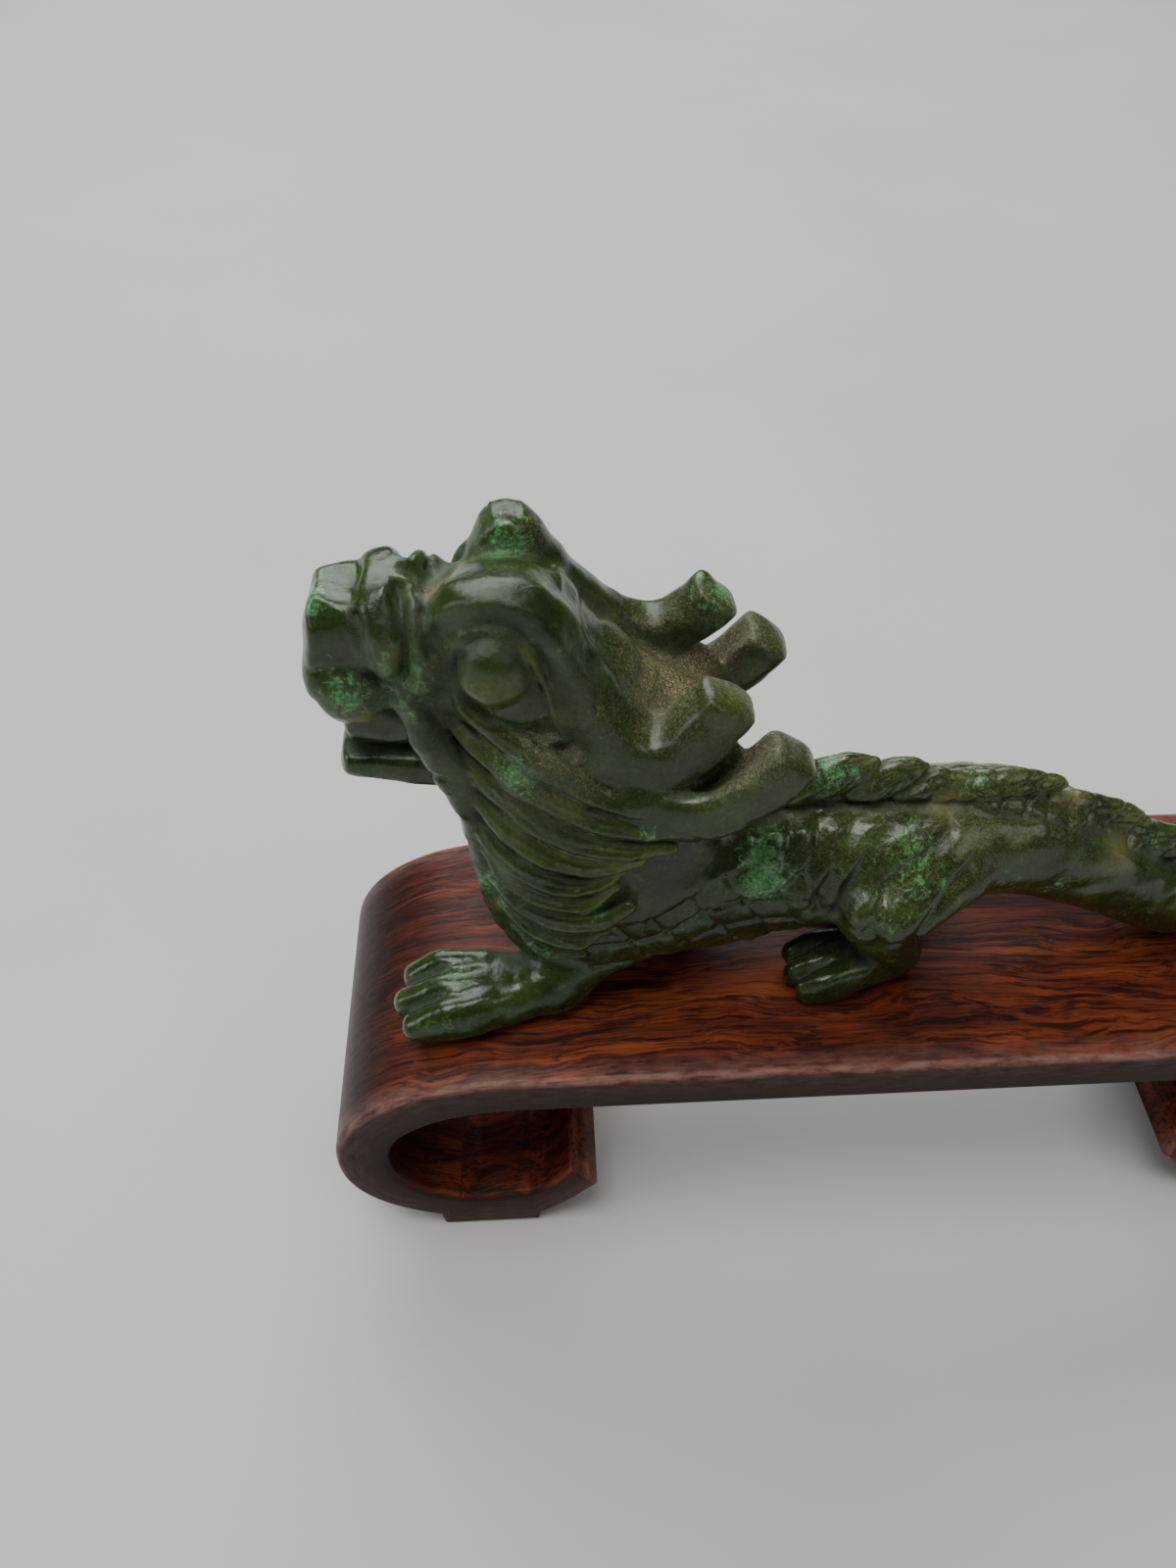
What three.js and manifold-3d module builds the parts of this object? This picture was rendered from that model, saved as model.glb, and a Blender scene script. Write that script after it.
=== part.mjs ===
// A carved jade dragon that stands on a rosewood stand with scrolled ends.
// Millimetres, +Z up. The origin is on the ground under the middle of the stand; +X runs from
// the dragon's nose to its tail, and -Y is the side of its leading foreleg.
import * as THREE from "three";
import { mergeVertices } from "three/addons/utils/BufferGeometryUtils.js";
import Module from "manifold-3d";

const wasm = await Module();
wasm.setup();

// ---------------------------------------------------------------- driving dimensions

const STAND = {
  length: 160,
  depth: 42,
  height: 43,
  board: 7.5, // thickness of the board and of the scrolls that it curls into
  bend: 27, // how far from the end the board starts to curl
  squareness: 2.2, // 2 is an ellipse; more is squarer
  // the lip's two corners, each as [distance from the stand's end, height]
  lip: { outer: [37, 11.4], inner: [33, 16.4] },
  sole: { from: 13, to: 28, height: 0.8 },
};

const REST_GAP = 0.1; // the dragon's soles lie this far over the board
const LIMB = { sides: 10, steps: 1, squareness: 2 };

// ---------------------------------------------------------------- shared shape makers

// A solid for booleans from a closed three.js geometry.
function solid(geometry) {
  const bare = geometry.index ? geometry.toNonIndexed() : geometry.clone();
  bare.deleteAttribute("normal");
  bare.deleteAttribute("uv");
  const merged = mergeVertices(bare, 1e-4);
  const made = new wasm.Manifold(
    new wasm.Mesh({
      numProp: 3,
      vertProperties: merged.attributes.position.array,
      triVerts: new Uint32Array(merged.index.array),
    }),
  );
  return made;
}

// The three.js geometry of a solid.
function geometryOf(made) {
  const mesh = made.getMesh();
  const geometry = new THREE.BufferGeometry();
  geometry.setAttribute("position", new THREE.BufferAttribute(mesh.vertProperties.slice(), 3));
  geometry.setIndex(new THREE.BufferAttribute(mesh.triVerts.slice(), 1));
  geometry.computeVertexNormals();
  return geometry;
}

const join = (solids) => solids.reduce((all, one) => all.add(one));
const signedPower = (value, power) => Math.sign(value) * Math.abs(value) ** power;

// Catmull-Rom value between rows of numbers.
function between(rows, t) {
  const last = rows.length - 1;
  const i = Math.min(Math.floor(t), last - 1);
  const f = t - i;
  const [a, b, c, d] = [i - 1, i, i + 1, i + 2].map((k) => rows[Math.min(Math.max(k, 0), last)]);
  return b.map((_, k) => {
    const slopeIn = (c[k] - a[k]) / 2;
    const slopeOut = (d[k] - b[k]) / 2;
    const rise = c[k] - b[k];
    const bend = 3 * rise - 2 * slopeIn - slopeOut;
    const twist = slopeIn + slopeOut - 2 * rise;
    return b[k] + f * (slopeIn + f * (bend + f * twist));
  });
}

// A rounded limb through stations [x, y, z, half width, half height]. The width runs across the
// path, square to `up`, and the height runs towards `up`.
function limb(stations, options = {}) {
  const { sides, steps, squareness } = { ...LIMB, ...options };
  const up = new THREE.Vector3(...(options.up ?? [0, 0, 1])).normalize();
  const [blunt0, blunt1] = options.blunt ?? [1, 1]; // length of each rounded end, in radii
  const count = (stations.length - 1) * steps;
  const rows = Array.from({ length: count + 1 }, (_, i) => between(stations, i / steps));
  const centres = rows.map((row) => new THREE.Vector3(row[0], row[1], row[2]));
  const tangents = centres.map((_, i) =>
    centres[Math.min(i + 1, count)].clone().sub(centres[Math.max(i - 1, 0)]).normalize(),
  );
  const rings = rows.map((row, i) => ({ c: centres[i], t: tangents[i], w: row[3], h: row[4] }));
  const dome = (ring, sign, blunt) =>
    (sides > 10 ? [0.5, 0.85] : [0.7]).map((out) => {
      const shrink = Math.sqrt(1 - out * out);
      const reach = sign * out * blunt * Math.min(ring.w, ring.h);
      const c = ring.c.clone().addScaledVector(ring.t, reach);
      return { c, t: ring.t, w: ring.w * shrink, h: ring.h * shrink };
    });
  const first = rings[0];
  const final = rings[count];
  const all = [...dome(first, -1, blunt0).reverse(), ...rings, ...dome(final, 1, blunt1)];
  const points = [];
  for (const ring of all) {
    const side = new THREE.Vector3().crossVectors(ring.t, up).normalize();
    const top = new THREE.Vector3().crossVectors(side, ring.t);
    for (let k = 0; k < sides; k++) {
      const angle = ((k + 0.5) / sides) * 2 * Math.PI;
      const across = ring.w * signedPower(Math.cos(angle), 2 / squareness);
      const along = ring.h * signedPower(Math.sin(angle), 2 / squareness);
      points.push(ring.c.clone().addScaledVector(side, across).addScaledVector(top, along));
    }
  }
  const pole = (ring, sign, blunt) =>
    ring.c.clone().addScaledVector(ring.t, sign * blunt * Math.min(ring.w, ring.h));
  points.push(pole(first, -1, blunt0), pole(final, 1, blunt1));
  const faces = [];
  const at = (ring, k) => ring * sides + (k % sides);
  for (let k = 0; k < sides; k++) {
    for (let ring = 0; ring + 1 < all.length; ring++) {
      faces.push(at(ring, k), at(ring, k + 1), at(ring + 1, k + 1));
      faces.push(at(ring, k), at(ring + 1, k + 1), at(ring + 1, k));
    }
    faces.push(points.length - 2, at(0, k + 1), at(0, k));
    faces.push(points.length - 1, at(all.length - 1, k), at(all.length - 1, k + 1));
  }
  const geometry = new THREE.BufferGeometry().setFromPoints(points);
  geometry.setIndex(faces);
  const made = solid(geometry);
  return made.volume() < 0 ? solid(flipped(geometry)) : made;
}

// The same faces, turned round.
function flipped(geometry) {
  const index = Array.from(geometry.index.array);
  for (let i = 0; i < index.length; i += 3) [index[i + 1], index[i + 2]] = [index[i + 2], index[i + 1]];
  return geometry.clone().setIndex(index);
}

// An ellipsoid with half axes [a, b, c] at a centre, leaned about Y by `lean` degrees.
function egg(centre, radii, lean = 0, detail = [14, 9]) {
  const geometry = new THREE.SphereGeometry(1, ...detail).scale(...radii);
  geometry.rotateY(THREE.MathUtils.degToRad(lean)).translate(...centre);
  return solid(geometry);
}

const otherSide = (stations) => stations.map(([x, y, z, w, h]) => [x, -y, z, w, h]);

// The same limb on both sides of the dragon.
const pair = (stations, options) => [limb(stations, options), limb(otherSide(stations), options)];

// ---------------------------------------------------------------- the stand

// The left end's outline as points [x, z], from the board's top round the scroll to its lip and
// back inside to the board's underside.
function scrollOutline() {
  const { length, height, board, bend, squareness, lip, sole } = STAND;
  const end = -length / 2;
  const middle = height / 2;
  const arc = (reach, rise, from, to, parts = 10) =>
    Array.from({ length: parts + 1 }, (_, i) => {
      const angle = THREE.MathUtils.degToRad(from + ((to - from) * i) / parts);
      const x = end + bend + reach * signedPower(Math.cos(angle), 2 / squareness);
      return [x, middle + rise * signedPower(Math.sin(angle), 2 / squareness)];
    });
  const curl = (...points) =>
    new THREE.SplineCurve(points.map(([x, z]) => new THREE.Vector2(x, z)))
      .getPoints(6)
      .map(({ x, y }) => [x, y]);
  const outerTop = arc(bend, middle, 90, 180);
  const outerFoot = arc(bend, middle - sole.height, 180, 270);
  const innerFoot = arc(bend - board, middle - board, 248, 180, 8);
  const innerTop = arc(bend - board, middle - board, 180, 90);
  const tips = [lip.outer, lip.inner].map(([inset, z]) => [end + inset, z]);
  const lipOut = curl(outerFoot.at(-1), [tips[0][0] - 4.4, tips[0][1] - 5.4], tips[0]);
  const lipIn = curl(tips[1], [tips[1][0] - 4.4, tips[1][1] - 5.6], innerFoot[0]);
  return [
    ...outerTop,
    ...outerFoot.slice(1),
    ...lipOut.slice(1),
    ...lipIn,
    ...innerFoot.slice(1),
    ...innerTop.slice(1),
  ];
}

function standGeometry() {
  const { depth, length, sole } = STAND;
  const left = scrollOutline();
  const right = left.map(([x, z]) => [-x, z]).reverse();
  const shape = new THREE.Shape([...left, ...right].map(([x, z]) => new THREE.Vector2(x, z)));
  const body = new THREE.ExtrudeGeometry(shape, { depth, bevelEnabled: false });
  body.translate(0, 0, -depth / 2).rotateX(Math.PI / 2);
  const width = sole.to - sole.from;
  const thick = sole.height * 3;
  const soles = [-1, 1].map((side) => {
    const x = side * (length / 2 - (sole.from + sole.to) / 2);
    return solid(new THREE.BoxGeometry(width, depth, thick).translate(x, 0, thick / 2));
  });
  return geometryOf(join([solid(body), ...soles]));
}

// ---------------------------------------------------------------- the dragon
// Its stations are measured from the middle of the board's top.

const trunk = () => [
  // tail, hips, belly and chest in one run
  limb(
    [
      [62, 0, 8.6, 2.4, 2.6],
      [53, 0.6, 5, 3.6, 3.9],
      [44, 0.6, 5, 4.6, 4.9],
      [36.5, 0, 8, 5.4, 5.6],
      [29, 0, 12.8, 6.2, 6.2],
      [20, 0, 18.6, 7, 7],
      [11, 0, 22.4, 7.8, 7.8],
      [0, 0, 22.4, 8.6, 9],
      [-10, 0, 21, 9, 10],
      [-20, 0, 19.5, 9.4, 11.2],
      [-30, 0, 17.4, 9.6, 12.2],
      [-40, 0, 16.5, 9.4, 13],
      [-48, 0, 17, 8, 12],
    ],
    { sides: 16, squareness: 2.2 },
  ),
  // shoulders and neck, rising to the nape
  limb(
    [
      [-40, 0, 14, 9.2, 15],
      [-41.5, 0, 26, 9.4, 16],
      [-43, 0, 35, 9, 14.5],
      [-44, 0, 44, 8.2, 12],
      [-46, 0, 51, 7.4, 9],
    ],
    { sides: 16, up: [1, 0, 0], squareness: 2.2 },
  ),
];

const skull = () => [
  limb(
    [
      [-56, 0, 57, 6.2, 7],
      [-50, 0, 57, 7, 9.4],
      [-44, 0, 53, 7.2, 9],
      [-38, 0, 46.6, 7, 8.6],
      [-32.5, 0, 41, 6.6, 7.4],
    ],
    { sides: 14, squareness: 2.2 },
  ),
  // muzzle
  limb(
    [
      [-69.8, 0, 58.4, 4.7, 7],
      [-66, 0, 58.6, 5.4, 6.4],
      [-60, 0, 57.8, 5.8, 6],
      [-54, 0, 57, 6.4, 7.4],
    ],
    { sides: 14, squareness: 3.2, blunt: [0.4, 1] },
  ),
  // tongue and lower jaw
  limb([[-68.8, 0, 48.6, 3.8, 3.4], [-58, 0, 48.6, 4.6, 4]], { squareness: 3, blunt: [0.4, 1] }),
  limb([[-69.8, 0, 43.4, 4.4, 2.2], [-63, 0, 42, 4.8, 2.6], [-56, 0, 41, 5.2, 3.4]], {
    squareness: 3,
    blunt: [0.5, 1],
  }),
  // nose tip and the nostril ridge that crosses the muzzle
  ...[-1, 1].map((side) => egg([-69.4, 3.2 * side, 60.6], [2.7, 2.4, 3.2], 0, [8, 6])),
  limb(
    [
      [-63.6, 5.8, 57.4, 2.6, 2.2],
      [-63.4, 4.6, 62.6, 2.9, 2.4],
      [-63.2, 0, 65.6, 2.9, 2.3],
      [-63.4, -4.6, 62.6, 2.9, 2.4],
      [-63.6, -5.8, 57.4, 2.6, 2.2],
    ],
    { up: [1, 0, 0] },
  ),
];

const NEAR_BEAM = [
  [-55.6, -5.2, 64, 1.8, 2],
  [-51.6, -6, 67.4, 2.3, 2.4],
  [-46.8, -6.4, 65, 2.4, 2.6],
  [-43, -7, 57.8, 2.4, 2.8],
  [-39.6, -7.8, 50.4, 2.5, 2.9],
  [-35.6, -8, 47.4, 2.8, 3],
  [-31.4, -7.6, 50.8, 3, 3.2],
  [-28.4, -7.2, 55, 2.9, 3],
];

// Carved by hand, so the far beam isn't quite the near one's mirror image.
const FAR_BEAM = [
  [-53.2, 5.6, 63.6, 2.4, 2.2],
  [-51, 6, 66.9, 2.9, 2.8],
  [-47.8, 6.2, 62.2, 2.6, 2.8],
  [-43.6, 7, 56.4, 2.4, 2.8],
  [-39, 7.8, 51.6, 2.4, 2.9],
  [-35, 8, 50, 2.6, 2.9],
  [-31.2, 7.8, 52.6, 2.6, 2.8],
  [-28.4, 7.6, 56.2, 2.5, 2.7],
];

const LOWER_PRONG = [
  [-44, -7.6, 47, 2.6, 3.2],
  [-38.5, -8.8, 41.4, 2.9, 3.6],
  [-31.5, -9.6, 40, 3, 3.7],
  [-25.4, -9.8, 43.6, 3, 3.6],
  [-21.6, -9.6, 48.2, 2.9, 3.3],
];

const face = () => [
  ...[-1, 1].map((side) => egg([-52, 6 * side, 58.6], [4.6, 3.4, 4.8], 0, [12, 8])),
  // brows that sweep back into the upper prongs
  limb(NEAR_BEAM, { steps: 2, blunt: [1, 0.35] }),
  limb(FAR_BEAM, { steps: 2, blunt: [1, 0.35] }),
  ...pair(LOWER_PRONG, { blunt: [1, 0.35] }),
  // web that fills the fork between the prongs
  ...[-1, 1].map((side) => egg([-34.5, 7.2 * side, 45.2], [8, 2.8, 5], -10, [10, 7])),
  // strap of beard from the mouth's corner down the throat
  ...pair(
    [
      [-61.4, -5.6, 54.6, 1.6, 1.6],
      [-59, -6, 47, 2, 2],
      [-56.4, -5.2, 37.4, 2.1, 2],
      [-55.2, -4.4, 27, 2.1, 2],
      [-53.8, -4, 15, 2, 2],
    ],
    { sides: 8 },
  ),
];

const MANE = [
  // [start x, z, end x, z] of each lock on the neck's side
  [-53, 47.5, -25, 35],
  [-54.5, 40.5, -28, 29],
  [-55.5, 33.5, -32.5, 24],
  [-55.8, 27, -37, 19.6],
  [-55.4, 20.5, -42, 14.6],
];

// A lock of the mane at fraction t of its length: it swells, sags and hugs the neck's side.
function lockStation([x0, z0, x1, z1], t) {
  const swell = 0.9 + 1.5 * Math.sin(Math.PI * Math.min(1, t * 1.1));
  const out = 6.6 + 3 * Math.sin((Math.PI / 2) * Math.min(1, 1.4 * t));
  const z = z0 + (z1 - z0) * t - 3.2 * Math.sin(Math.PI * t);
  return [x0 + (x1 - x0) * t, -out, z, 0.8 * swell, 1.5 * swell];
}

const mane = () =>
  MANE.flatMap((lock) =>
    pair(
      [0, 1 / 3, 2 / 3, 1].map((t) => lockStation(lock, t)),
      { sides: 6 },
    ),
  );

const FINS = [
  // [root x, root z, tip x, tip z] of each leaf along the back
  [-22, 31, -9, 36.5],
  [-14, 31.5, -2.4, 34.2],
  [-7, 30.8, 1.8, 33],
  [-1, 31.2, 17, 30],
  [10, 28.4, 29, 23.4],
  [22, 21.4, 39, 16.6],
  [32, 14.6, 48, 13],
  [42, 10.4, 57, 11.2],
];

const LEAF = [
  // [fraction of the leaf's length, half width, half height]
  [0, 1.8, 1.6],
  [0.35, 2.3, 3.4],
  [0.7, 1.7, 2.5],
  [1, 0.6, 0.8],
];

const fins = () =>
  FINS.map(([x0, z0, x1, z1]) =>
    limb(
      LEAF.map(([t, w, h]) => [x0 + (x1 - x0) * t, 0, z0 + (z1 - z0) * t ** 0.8, w, h]),
      { sides: 8 },
    ),
  );

// A leg: thigh or arm, shank, and a foot with three toes.
function leg({ joints, foot, toes, spread }) {
  const [heel, ball] = foot;
  const tips = [-1, 0, 1].map((side) => {
    const along = new THREE.Vector2(ball[0] - heel[0], ball[1] - heel[1]).normalize();
    const across = new THREE.Vector2(-along.y, along.x).multiplyScalar(side * spread);
    return limb(
      [
        [ball[0] + across.x * 0.8, ball[1] + across.y * 0.8, ball[2], 1.8, 0.9 * ball[4]],
        [ball[0] + along.x * toes + across.x, ball[1] + along.y * toes + across.y, 2, 1.7, 2.4],
      ],
      { sides: 6 },
    );
  });
  return [limb(joints, { up: [1, 0, 0] }), limb([heel, ball], { squareness: 2.4 }), ...tips];
}

const legs = () => [
  // leading foreleg, flat on the board
  ...leg({
    joints: [
      [-34, -7, 15, 4.5, 7],
      [-38, -8.5, 8, 4.6, 5.6],
      [-44, -9, 4.2, 4.2, 4.4],
    ],
    foot: [
      [-42, -9, 3.6, 4, 4.4],
      [-61, -8.6, 3.8, 4.8, 4.6],
    ],
    toes: 7,
    spread: 3.2,
  }),
  // trailing foreleg, set back under the chest
  ...leg({
    joints: [
      [-32, 7, 15, 4.5, 7],
      [-30, 9, 8, 4.4, 5],
      [-31, 9.6, 4, 4, 4.2],
    ],
    foot: [
      [-30, 9.8, 3.2, 3.8, 3.8],
      [-42, 9.4, 3, 4.4, 3.2],
    ],
    toes: 6,
    spread: 3,
  }),
  // near hind leg
  ...leg({
    joints: [
      [0.5, -5, 23, 5, 6.6],
      [-5, -9, 18, 4, 5.6],
      [-9, -10.4, 13.6, 3, 4],
      [-4.6, -8.8, 9, 2.8, 3.4],
      [-1.4, -7.4, 5.2, 2.8, 3],
    ],
    foot: [
      [-2, -7, 3.2, 3, 3.4],
      [-10, -9.6, 3, 3.8, 3.2],
    ],
    toes: 5.5,
    spread: 2.5,
  }),
  // far hind leg
  ...leg({
    joints: [
      [5, 5, 22, 5, 6.6],
      [0, 9, 17, 4, 5.6],
      [-4, 10, 13, 3, 4],
      [1, 9.4, 8.6, 2.8, 3.4],
      [4.4, 8.6, 5, 2.8, 3],
    ],
    foot: [
      [4, 8.4, 3.2, 3, 3.4],
      [-4, 9.6, 3, 3.8, 3.2],
    ],
    toes: 5.5,
    spread: 2.5,
  }),
];

const tailTuft = () => [
  limb([[58, 0, 6.4, 2.4, 3], [66, 0, 11.4, 2.6, 3.6], [73, 0, 16.4, 0.8, 1.2]], { sides: 8 }),
  limb([[56, 0, 5, 2.2, 2.6], [65, 0, 5.4, 2.2, 2.4], [72, 0, 8.2, 0.7, 1]], { sides: 8 }),
];

function dragonGeometry() {
  const whole = join([
    ...trunk(),
    ...skull(),
    ...face(),
    ...mane(),
    ...fins(),
    ...legs(),
    ...tailTuft(),
  ]);
  const room = 200;
  const overBoard = new THREE.BoxGeometry(room, room, room).translate(0, 0, room / 2 + REST_GAP);
  return geometryOf(whole.intersect(solid(overBoard)));
}

// ---------------------------------------------------------------- the scene graph

const jade = new THREE.MeshStandardMaterial({ color: 0x24381c, roughness: 0.22, metalness: 0 });
const rosewood = new THREE.MeshStandardMaterial({ color: 0x4a1c12, roughness: 0.35, metalness: 0 });

const stand = new THREE.Mesh(standGeometry(), rosewood);
stand.name = "scroll_stand";

const dragon = new THREE.Mesh(dragonGeometry(), jade);
dragon.name = "jade_dragon";
dragon.position.z = STAND.height;

const carving = new THREE.Group();
carving.add(stand, dragon);

export default carving;
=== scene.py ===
"""The looks of the jade dragon: its carved surface, its stone, and its rosewood stand."""

import math

import bpy
import numpy as np
from mathutils import Matrix, Vector


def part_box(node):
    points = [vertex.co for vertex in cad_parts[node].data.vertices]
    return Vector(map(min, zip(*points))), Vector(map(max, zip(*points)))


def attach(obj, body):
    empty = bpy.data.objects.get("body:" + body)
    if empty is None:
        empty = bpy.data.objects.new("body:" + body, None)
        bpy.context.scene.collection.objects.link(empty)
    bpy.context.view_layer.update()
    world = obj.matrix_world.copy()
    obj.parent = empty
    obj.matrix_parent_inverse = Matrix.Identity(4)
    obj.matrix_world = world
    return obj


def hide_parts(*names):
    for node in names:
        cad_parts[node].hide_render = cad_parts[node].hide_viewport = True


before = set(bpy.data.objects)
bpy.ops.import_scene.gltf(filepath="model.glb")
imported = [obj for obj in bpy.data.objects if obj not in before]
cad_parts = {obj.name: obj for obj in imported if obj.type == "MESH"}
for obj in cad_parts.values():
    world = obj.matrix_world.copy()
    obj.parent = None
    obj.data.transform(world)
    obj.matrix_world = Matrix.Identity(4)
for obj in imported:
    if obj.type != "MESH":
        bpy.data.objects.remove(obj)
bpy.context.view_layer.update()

MM = 0.001
STAND_LOW, STAND_HIGH = (np.array(v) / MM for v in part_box("scroll_stand"))
STAND_SIZE = STAND_HIGH - STAND_LOW
BOARD_TOP = STAND_HIGH[2]

# ------------------------------------------------------------------ sculpting kit
# The dragon is sculpted in millimetres from the middle of the board's top, as one distance field:
# limbs and eggs are joined, then cut and engraved, and the field's zero level is meshed.

FAR = 9.0  # distances are only kept this close to a shape


def smooth_rows(stations, steps):
    """Catmull-Rom rows between stations."""
    rows = np.asarray(stations, float)
    padded = np.vstack([rows[:1], rows, rows[-1:]])
    t = np.linspace(0, len(rows) - 1, (len(rows) - 1) * steps + 1)
    i = np.minimum(t.astype(int), len(rows) - 2)
    f = (t - i)[:, None]
    a, b, c, d = (padded[i + k] for k in range(4))
    slope_in, slope_out, rise = (c - a) / 2, (d - b) / 2, c - b
    twist = slope_in + slope_out - 2 * rise
    return b + f * (slope_in + f * (rise - slope_in - twist + f * twist))


def smooth_min(a, b, k):
    """The union of two distances, rounded over k millimetres."""
    blend = np.maximum(k - np.abs(a - b), 0) / k
    return np.minimum(a, b) - blend * blend * k / 4


def nearest(path, p):
    """For each point: the nearest span of the path, how far along it, and the squared distance."""
    best = np.full(len(p), np.inf, np.float32)
    span = np.zeros(len(p), np.int32)
    along = np.zeros(len(p), np.float32)
    for i in range(len(path) - 1):
        step = path[i + 1] - path[i]
        away = p - path[i]
        t = np.clip(away @ step / max(step @ step, 1e-9), 0, 1)
        away -= t[:, None] * step
        gap = np.einsum("ij,ij->i", away, away)
        hit = gap < best
        best[hit] = gap[hit]
        span[hit] = i
        along[hit] = t[hit]
    return span, along, best


class Limb:
    """A rounded bar through stations [x, y, z, half width, half height].

    The width runs square to `up`. `furrows` is (places across the height, width, depth).
    """

    def __init__(self, stations, up=(0, 0, 1), square=2.0, blunt=(1, 1), steps=5, furrows=None):
        rows = smooth_rows(stations, steps)
        self.path = rows[:, :3].astype(np.float32)
        self.radii = np.maximum(rows[:, 3:5], 0.15).astype(np.float32)
        tangent = np.gradient(rows[:, :3], axis=0)
        tangent /= np.linalg.norm(tangent, axis=1)[:, None]
        side = np.cross(tangent, np.array(up, float))
        side /= np.linalg.norm(side, axis=1)[:, None]
        top = np.cross(side, tangent)
        self.axes = np.stack([side, top, tangent], axis=1).astype(np.float32)
        self.blunt = blunt
        self.square = square
        self.furrows = furrows
        reach = self.radii.max(axis=1)[:, None]
        self.low = (self.path - reach).min(axis=0)
        self.high = (self.path + reach).max(axis=0)

    def distance(self, p):
        span, along, _ = nearest(self.path, p)
        f = along[:, None]
        radii = self.radii[span] * (1 - f) + self.radii[span + 1] * f
        centre = self.path[span] * (1 - f) + self.path[span + 1] * f
        axes = self.axes[span] * (1 - f[..., None]) + self.axes[span + 1] * f[..., None]
        local = np.einsum("ijk,ik->ij", axes, p - centre)
        tip = radii.min(axis=1)
        place = (span + along) / (len(self.path) - 1)
        tip = tip * np.where(place < 0.5, self.blunt[0], self.blunt[1])
        u = np.abs(local[:, 0] / radii[:, 0]) + 1e-5
        v = np.abs(local[:, 1] / radii[:, 1]) + 1e-5
        w = local[:, 2] / tip
        n = self.square
        k0 = (u**n + v**n) ** (1 / n)
        fall = (u / k0) ** (2 * n - 2) / radii[:, 0] ** 2 + (v / k0) ** (2 * n - 2) / radii[:, 1] ** 2
        k = np.sqrt(k0 * k0 + w * w)
        slope = np.sqrt(k0 * k0 * fall + (w / tip) ** 2) / k
        d = (k - 1) / slope
        if self.furrows:
            places, width, depth = self.furrows
            height = local[:, 1] / radii[:, 1]
            ends = np.clip(4 * np.minimum(place, 1 - place) + 0.25, 0, 1)
            for at in places:
                d = d + ends * depth * np.exp(-(((height - at) / width) ** 2))
        return d


class Egg:
    """An ellipsoid, leaned about Y by `lean` degrees."""

    def __init__(self, centre, radii, lean=0):
        self.centre = np.array(centre, np.float32)
        self.radii = np.array(radii, np.float32)
        angle = math.radians(lean)
        c, s = math.cos(angle), math.sin(angle)
        self.turn = np.array([[c, 0, -s], [0, 1, 0], [s, 0, c]], np.float32)
        reach = self.radii.max()
        self.low = self.centre - reach
        self.high = self.centre + reach

    def distance(self, p):
        local = (p - self.centre) @ self.turn.T / self.radii
        k0 = np.linalg.norm(local, axis=1) + 1e-5
        k1 = np.linalg.norm(local / self.radii, axis=1) + 1e-5
        return k0 * (k0 - 1) / k1


class Clay:
    """Points with their distance to the sculpture so far."""

    def __init__(self, points):
        self.p = points
        self.d = np.full(len(points), FAR, np.float32)

    def near(self, low, high, margin):
        low = np.asarray(low) - margin
        high = np.asarray(high) + margin
        keep = np.ones(len(self.p), bool)
        for axis in range(3):
            keep &= (self.p[:, axis] > low[axis]) & (self.p[:, axis] < high[axis])
        return np.nonzero(keep)[0]

    def add(self, shape, k=1.0):
        at = self.near(shape.low, shape.high, 3.5 + k)
        if len(at):
            self.d[at] = smooth_min(self.d[at], shape.distance(self.p[at]), k)

    def cut(self, shape, k=0.4):
        at = self.near(shape.low, shape.high, 1 + k)
        if len(at):
            self.d[at] = -smooth_min(-self.d[at], shape.distance(self.p[at]), k)

    def shave(self, point, normal, reach, k=0.3):
        """Cuts off flat what lies beyond a plane, within `reach` of its point."""
        point = np.array(point)
        at = self.near(point, point, reach)
        beyond = (self.p[at] - point) @ (np.array(normal) / np.linalg.norm(normal))
        self.d[at] = -smooth_min(-self.d[at], -beyond, k)

    def engrave(self, path, width, depth, low, high, plane=(0, 2)):
        """Presses a line into every surface inside the box that lies over or under the path."""
        line = smooth_rows(path, 4).astype(np.float32)
        at = self.near(low, high, 0)
        at = at[np.abs(self.d[at]) < 2]
        if not len(at):
            return
        _, _, gap = nearest(line, self.p[at][:, plane])
        self.d[at] += depth * np.exp(-gap / width**2)

    def terrace(self, path, width, depth, low, high):
        """Sinks the surface below a line across the side by `depth`."""
        line = smooth_rows(path, 4)
        at = self.near(low, high, 0)
        at = at[np.abs(self.d[at]) < 2]
        x, z = self.p[at, 0], self.p[at, 2]
        drop = np.interp(x, line[:, 0], line[:, 1]) - z
        fade = np.clip(np.minimum(x - line[0, 0], line[-1, 0] - x) / 2, 0, 1)
        self.d[at] += depth * fade * np.clip(drop / width + 0.5, 0, 1)


def both(stations):
    """The stations, and their mirror image on the dragon's far side."""
    rows = np.array(stations, float)
    return rows, rows * np.where(np.arange(rows.shape[1]) == 1, -1, 1)


# ------------------------------------------------------------------ the dragon's forms

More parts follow.
